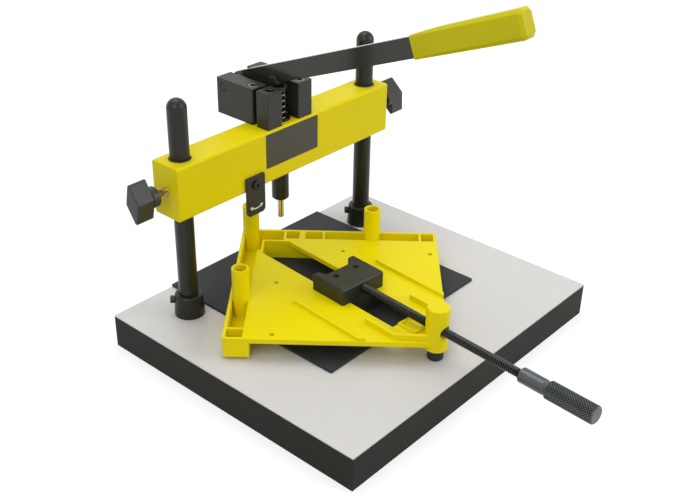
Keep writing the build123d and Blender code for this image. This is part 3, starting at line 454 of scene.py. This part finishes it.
lever_coating = finish_material(
    "lever_coating", display(40, 41, 33), display(50, 51, 42), cloud=(35.0, 0.7),
    grain=(1000.0, 0.05), gloss=(0.14, 0.24), edge=0.0007, shine=0.25, coat=0.25,
)
grip_vinyl = finish_material(
    "grip_vinyl", display(203, 194, 0), display(212, 203, 2), cloud=(18.0, 0.6),
    grain=(900.0, 0.06), gloss=(0.2, 0.3), edge=0.0004, shine=0.14, coat=0.05,
)
dress(lever_coating, "lever_bar")
dress(post_coating, "press_pin")

FLAT_ANGLE, SEAM_ANGLE, SMOOTH_ANGLE = math.radians(1), math.radians(12), math.radians(30)
GRIP_WELD, GRIP_ROUNDING, ROUNDING_STEPS = 0.00001, 0.0022, 5

bpy.ops.object.select_all(action="DESELECT")
grip = nodes["lever_grip"].copy()
grip.data = nodes["lever_grip"].data.copy()
grip.name = "dipped_grip"
grip.parent = None
scene.collection.objects.link(grip)
grip.select_set(True)
bpy.context.view_layer.objects.active = grip
bpy.ops.object.mode_set(mode="EDIT")
bpy.ops.mesh.select_all(action="SELECT")
bpy.ops.mesh.remove_doubles(threshold=GRIP_WELD)
bpy.ops.mesh.dissolve_limited(angle_limit=FLAT_ANGLE)
bpy.ops.object.mode_set(mode="OBJECT")
rounding = grip.modifiers.new("rounding", "BEVEL")
rounding.width = GRIP_ROUNDING
rounding.segments = ROUNDING_STEPS
rounding.limit_method = "ANGLE"
rounding.angle_limit = SEAM_ANGLE
bpy.ops.object.modifier_apply(modifier=rounding.name)
bpy.ops.object.shade_smooth_by_angle(angle=SMOOTH_ANGLE)
grip.data.materials.clear()
grip.data.materials.append(grip_vinyl)
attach(grip, "lever")
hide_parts("lever_grip")

# ---- Swing plate ---------------------------------------------------------------------------
# A small plate of sheet steel, coated black, hangs on a screw from the beam's front face and
# swings out of the way. A white double arrow is printed on it.

arrow_paint = finish_material(
    "arrow_paint", display(222, 222, 218), display(206, 206, 202), cloud=(400.0, 0.8),
    grain=(2500.0, 0.1), gloss=(0.4, 0.55), edge=0.0001,
)
dress(head_coating, "swing_plate")
dress(dark_steel, "swing_screw", "swing_washer")


SEED_SIZE = 0.001


def drawn(name, points):
    """A chain of edges, drawn from point to point from a plane merged to one vertex."""
    bpy.ops.object.select_all(action="DESELECT")
    bpy.ops.mesh.primitive_plane_add(size=SEED_SIZE)
    chain = bpy.context.object
    chain.name = name
    bpy.ops.object.mode_set(mode="EDIT")
    bpy.ops.mesh.select_all(action="SELECT")
    bpy.ops.mesh.merge(type="CENTER")
    bpy.ops.transform.translate(value=points[0])
    for start, end in zip(points, points[1:]):
        stroke = Vector(end) - Vector(start)
        bpy.ops.mesh.extrude_vertices_move(TRANSFORM_OT_translate={"value": stroke})
    bpy.ops.object.mode_set(mode="OBJECT")
    return chain


ARROW_RADIUS, ARROW_WIDTH, ARROW_TURN = 0.0125, 0.0013, math.radians(24)
ARROW_HEAD_TURN, ARROW_HEAD_WIDTH, ARROW_STEPS = math.radians(16), 0.0042, 5
ARROW_MIDDLE, ARROW_FACE, ARROW_THICKNESS = (-0.049, 0.1305), 0.0773, 0.0001


def arrow_point(turn, radius):
    """A point on the plate's face, turned to the right of straight down about the middle."""
    across = ARROW_MIDDLE[0] + radius * math.sin(turn)
    return (across, ARROW_FACE, ARROW_MIDDLE[1] - radius * math.cos(turn))


half_line, half_head = ARROW_WIDTH / 2, ARROW_HEAD_WIDTH / 2
sweep = [ARROW_TURN * (step / ARROW_STEPS - 1) for step in range(2 * ARROW_STEPS + 1)]
outline = [arrow_point(turn, ARROW_RADIUS + half_line) for turn in sweep]
outline += [
    arrow_point(ARROW_TURN, ARROW_RADIUS + half_head),
    arrow_point(ARROW_TURN + ARROW_HEAD_TURN, ARROW_RADIUS),
    arrow_point(ARROW_TURN, ARROW_RADIUS - half_head),
]
outline += [arrow_point(turn, ARROW_RADIUS - half_line) for turn in reversed(sweep)]
outline += [
    arrow_point(-ARROW_TURN, ARROW_RADIUS - half_head),
    arrow_point(-ARROW_TURN - ARROW_HEAD_TURN, ARROW_RADIUS),
    arrow_point(-ARROW_TURN, ARROW_RADIUS + half_head),
]
arrow = drawn("swing_arrow", outline)
bpy.ops.object.mode_set(mode="EDIT")
bpy.ops.mesh.select_all(action="SELECT")
bpy.ops.mesh.edge_face_add()
bpy.ops.mesh.extrude_region_move(TRANSFORM_OT_translate={"value": (0, -ARROW_THICKNESS, 0)})
bpy.ops.mesh.select_all(action="SELECT")
bpy.ops.mesh.normals_make_consistent(inside=False)
bpy.ops.object.mode_set(mode="OBJECT")
arrow.data.materials.append(arrow_paint)
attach(arrow, "swing_plate")

# ---- Clamp knobs ---------------------------------------------------------------------------
# Each end of the beam has a lozenge knob of moulded black plastic on a brass-coloured stud,
# which bears on the post and fixes the beam's height.

stud_brass = finish_material(
    "stud_brass", display(214, 190, 120), display(190, 160, 90), cloud=(150.0, 0.6),
    grain=(1500.0, 0.05), gloss=(0.2, 0.34), metallic=1.0, edge=0.0002,
)
dress(black_plastic, "left_knob", "right_knob")


def make_crest_mask():
    """0 in the roots of a thread or knurl and 1 on its crests, by the distance from its axis."""
    group, given, result = node_group(
        "crest_mask",
        (("Vector", "Vector", None), ("Root", "Float", 0.0035), ("Crest", "Float", 0.004)),
        (("Mask", "Float"),),
    )
    flat = group.nodes.new("ShaderNodeVectorMath")
    flat.operation = "MULTIPLY"
    flat.inputs[1].default_value = (1, 1, 0)
    reach = group.nodes.new("ShaderNodeVectorMath")
    reach.operation = "LENGTH"
    rise = group.nodes.new("ShaderNodeMapRange")
    group.links.new(given.outputs["Vector"], flat.inputs[0])
    group.links.new(flat.outputs["Vector"], reach.inputs[0])
    group.links.new(reach.outputs["Value"], rise.inputs["Value"])
    group.links.new(given.outputs["Root"], rise.inputs["From Min"])
    group.links.new(given.outputs["Crest"], rise.inputs["From Max"])
    group.links.new(rise.outputs["Result"], result.inputs["Mask"])
    return group


crest_mask = make_crest_mask()


def paint_root_shade_and_oil(material, axis, root, crest, root_shade_and_oil_color):
    """Gives a material a darker colour at the root radius about an axis: painted shade in the
    roots, with some oil and dirt.
    """
    tree = material.node_tree
    shader = tree.nodes["Principled BSDF"]
    plain_color = shader.inputs["Base Color"].links[0].from_socket
    place = tree.nodes.new("ShaderNodeTexCoord")
    on_axis = tree.nodes.new("ShaderNodeMapping")
    on_axis.vector_type = "TEXTURE"
    on_axis.inputs["Location"].default_value = axis.to_translation()
    on_axis.inputs["Rotation"].default_value = axis.to_euler()
    mask = tree.nodes.new("ShaderNodeGroup")
    mask.node_tree = crest_mask
    mask.inputs["Root"].default_value = root
    mask.inputs["Crest"].default_value = crest
    # the painted shade and oil colour of the roots, mixed in where the crest mask is low
    blend = tree.nodes.new("ShaderNodeMix")
    blend.data_type = "RGBA"
    blend.inputs["A"].default_value = root_shade_and_oil_color
    tree.links.new(place.outputs["Object"], on_axis.inputs["Vector"])
    tree.links.new(on_axis.outputs["Vector"], mask.inputs["Vector"])
    tree.links.new(mask.outputs["Mask"], blend.inputs["Factor"])
    tree.links.new(plain_color, blend.inputs["B"])
    tree.links.new(blend.outputs["Result"], shader.inputs["Base Color"])


THREAD_DEPTH, CREST_START, CREST_END = 0.45, 0.4, 0.6     # as shares of the pitch
THREAD_STEPS, THREAD_SMOOTH_ANGLE = 20, math.radians(25)


def threaded(name, radius, pitch, turns):
    """A threaded bar along Z from the origin, with a flat on each crest."""
    root = radius - THREAD_DEPTH * pitch
    thread = drawn(name, (
        (root, 0, 0), (radius, 0, CREST_START * pitch), (radius, 0, CREST_END * pitch),
        (root, 0, pitch),
    ))
    wind(thread, pitch, turns, THREAD_STEPS)
    bpy.ops.object.shade_smooth_by_angle(angle=THREAD_SMOOTH_ANGLE)
    return thread


thread_brass = finish_material(
    "thread_brass", display(222, 196, 118), display(196, 164, 88), cloud=(150.0, 0.6),
    grain=(1500.0, 0.05), gloss=(0.16, 0.28), metallic=1.0, edge=0.00002,
)
STUD_RADIUS, STUD_PITCH, STUD_TURNS, STUD_SHADE_DEPTH = 0.00395, 0.00125, 27, 0.0004
STUD_TIP, STUD_MIDDLE = 0.1262, (0.096, 0.1595)

stud_axis = look_along((0, *STUD_MIDDLE), (1, 0, 0))
# painted shade, with some oil, in the roots of the stud threads
paint_root_shade_and_oil(
    thread_brass, stud_axis, STUD_RADIUS - STUD_SHADE_DEPTH, STUD_RADIUS, display(110, 84, 30)
)

left_thread = threaded("left_thread", STUD_RADIUS, STUD_PITCH, STUD_TURNS)
right_thread = left_thread.copy()
right_thread.data = left_thread.data.copy()
right_thread.name = "right_thread"
scene.collection.objects.link(right_thread)
for thread, side, stud in ((left_thread, -1, "left_stud"), (right_thread, 1, "right_stud")):
    seat(thread, look_along((side * STUD_TIP, *STUD_MIDDLE), (side, 0, 0)))
    thread.data.materials.append(thread_brass)
    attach(thread, stud)
    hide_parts(stud)

# ---- Corner tray ---------------------------------------------------------------------------
# One moulding of bright yellow plastic: a deck with two fences, three hollow legs and a boss
# at the front, which takes a threaded bush and stands on a rubber foot.

tray_plastic = finish_material(
    "tray_plastic", display(237, 219, 0), display(244, 228, 4), cloud=(10.0, 0.6),
    grain=(800.0, 0.07), gloss=(0.26, 0.38), edge=0.0009, shine=0.14,
)
foot_rubber = finish_material(
    "foot_rubber", display(36, 36, 36), display(50, 50, 50), cloud=(60.0, 0.6),
    grain=(1500.0, 0.3), gloss=(0.55, 0.7),
)
dress(tray_plastic, "tray")
dress(stud_brass, "boss_nut")
dress(foot_rubber, "tray_foot")

# ---- Clamp ---------------------------------------------------------------------------------
# A machined block over the deck and a V-nosed shoe under it, screwed together through the
# window and coated satin black.

dress(head_coating, "clamp_block", "clamp_shoe")
dress(dark_steel, "shoe_screws")

# ---- Clamp screw ---------------------------------------------------------------------------
# A blackened threaded rod runs in the bush in the tray's boss and pushes the clamp block. The
# handle on its end is turned and knurled steel, coated dark grey.

thread_black = finish_material(
    "thread_black", display(62, 62, 60), display(92, 92, 88), cloud=(200.0, 0.8),
    grain=(1500.0, 0.05), gloss=(0.2, 0.34), metallic=0.9, edge=0.00002,
)
handle_coating = finish_material(
    "handle_coating", display(78, 82, 85), display(98, 102, 105), cloud=(60.0, 0.6),
    grain=(1200.0, 0.1), gloss=(0.24, 0.36), metallic=0.6, edge=0.0003,
)
knurl_coating = finish_material(
    "knurl_coating", display(120, 124, 127), display(90, 94, 97), cloud=(400.0, 0.8),
    grain=(1200.0, 0.1), gloss=(0.24, 0.36), metallic=0.7, edge=0.00002,
)

SCREW_TURN = math.radians(-4.5)
SCREW_MIDDLE = Vector((-0.0136, 0.0115, 0.062))     # a point of the axis, over the tray's corner
SCREW_OUT = Vector((math.sin(SCREW_TURN), -math.cos(SCREW_TURN), 0))
ROD_RADIUS, ROD_PITCH, ROD_START, ROD_TURNS = 0.0039, 0.002, 0.0185, 99
ROD_SHADE_DEPTH = 0.0007

screw_axis = look_along(SCREW_MIDDLE, SCREW_OUT)
# painted shade, with some oil, in the roots of the rod's thread
paint_root_shade_and_oil(
    thread_black, screw_axis, ROD_RADIUS - ROD_SHADE_DEPTH, ROD_RADIUS, display(6, 6, 6)
)

rod = threaded("threaded_rod", ROD_RADIUS, ROD_PITCH, ROD_TURNS)
seat(rod, look_along(SCREW_MIDDLE + ROD_START * SCREW_OUT, SCREW_OUT))
rod.data.materials.append(thread_black)
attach(rod, "screw")
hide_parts("screw_rod")

NECK_RADIUS, GROOVE_RADIUS, BARREL_RADIUS, HANDLE_BEVEL = 0.0065, 0.0055, 0.008, 0.0012
HANDLE_START, NECK_END, GROOVE_START, BARREL_START, HANDLE_END = 0.207, 0.230, 0.2315, 0.233, 0.277
KNURL_COLUMNS, KNURL_RINGS, KNURL_RADIUS = 40, 32, 0.0073
KNURL_SHADE_MARGIN, KNURL_SMOOTH_ANGLE = 0.0001, math.radians(20)
knurl_start, knurl_end = BARREL_START + HANDLE_BEVEL, HANDLE_END - HANDLE_BEVEL
knurl_step = (knurl_end - knurl_start) / KNURL_RINGS

profile = [
    (NECK_RADIUS - HANDLE_BEVEL, HANDLE_START), (NECK_RADIUS, HANDLE_START + HANDLE_BEVEL),
    (NECK_RADIUS, NECK_END), (GROOVE_RADIUS, GROOVE_START), (GROOVE_RADIUS, BARREL_START),
    (BARREL_RADIUS - HANDLE_BEVEL, BARREL_START),
]
profile += [(KNURL_RADIUS, knurl_start + ring * knurl_step) for ring in range(KNURL_RINGS + 1)]
profile += [(BARREL_RADIUS - HANDLE_BEVEL, HANDLE_END)]

bpy.ops.object.select_all(action="DESELECT")
bpy.ops.mesh.primitive_circle_add(
    vertices=KNURL_COLUMNS, radius=profile[0][0], fill_type="NGON", location=(0, 0, profile[0][1])
)
handle = bpy.context.object
handle.name = "knurled_handle"
bpy.ops.object.transform_apply(location=True, rotation=True, scale=True)
bpy.ops.object.mode_set(mode="EDIT")
bpy.ops.mesh.select_all(action="SELECT")
for (radius, along), (next_radius, next_along) in zip(profile, profile[1:]):
    bpy.ops.mesh.extrude_region_move(TRANSFORM_OT_translate={"value": (0, 0, next_along - along)})
    widening = next_radius / radius
    bpy.ops.transform.resize(
        value=(widening, widening, 1), center_override=(0, 0, next_along)
    )
bpy.ops.mesh.select_mode(type="VERT")
bpy.ops.mesh.select_all(action="DESELECT")
bpy.ops.object.mode_set(mode="OBJECT")
for vertex in handle.data.vertices:
    ring = round((vertex.co.z - knurl_start) / knurl_step)
    column = round(math.atan2(vertex.co.y, vertex.co.x) * KNURL_COLUMNS / (2 * math.pi))
    vertex.select = 0 <= ring <= KNURL_RINGS and (ring + column) % 2 == 0
raised = BARREL_RADIUS / KNURL_RADIUS
bpy.ops.object.mode_set(mode="EDIT")
bpy.ops.transform.resize(value=(raised, raised, 1), center_override=(0, 0, 0))
bpy.ops.mesh.select_all(action="SELECT")
bpy.ops.mesh.normals_make_consistent(inside=False)
bpy.ops.mesh.quads_convert_to_tris(quad_method="SHORTEST_DIAGONAL")
bpy.ops.object.mode_set(mode="OBJECT")
bpy.ops.object.shade_smooth_by_angle(angle=KNURL_SMOOTH_ANGLE)
seat(handle, look_along(SCREW_MIDDLE, SCREW_OUT))
# painted shade, with some dirt, in the grooves of the knurl
paint_root_shade_and_oil(
    knurl_coating, screw_axis, KNURL_RADIUS, BARREL_RADIUS - KNURL_SHADE_MARGIN,
    display(24, 26, 28),
)
handle.data.materials.append(handle_coating)
handle.data.materials.append(knurl_coating)
for face in handle.data.polygons:
    along = (face.center - SCREW_MIDDLE).dot(SCREW_OUT)
    if knurl_start < along < knurl_end:
        face.material_index = 1
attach(handle, "screw")
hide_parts("screw_handle")
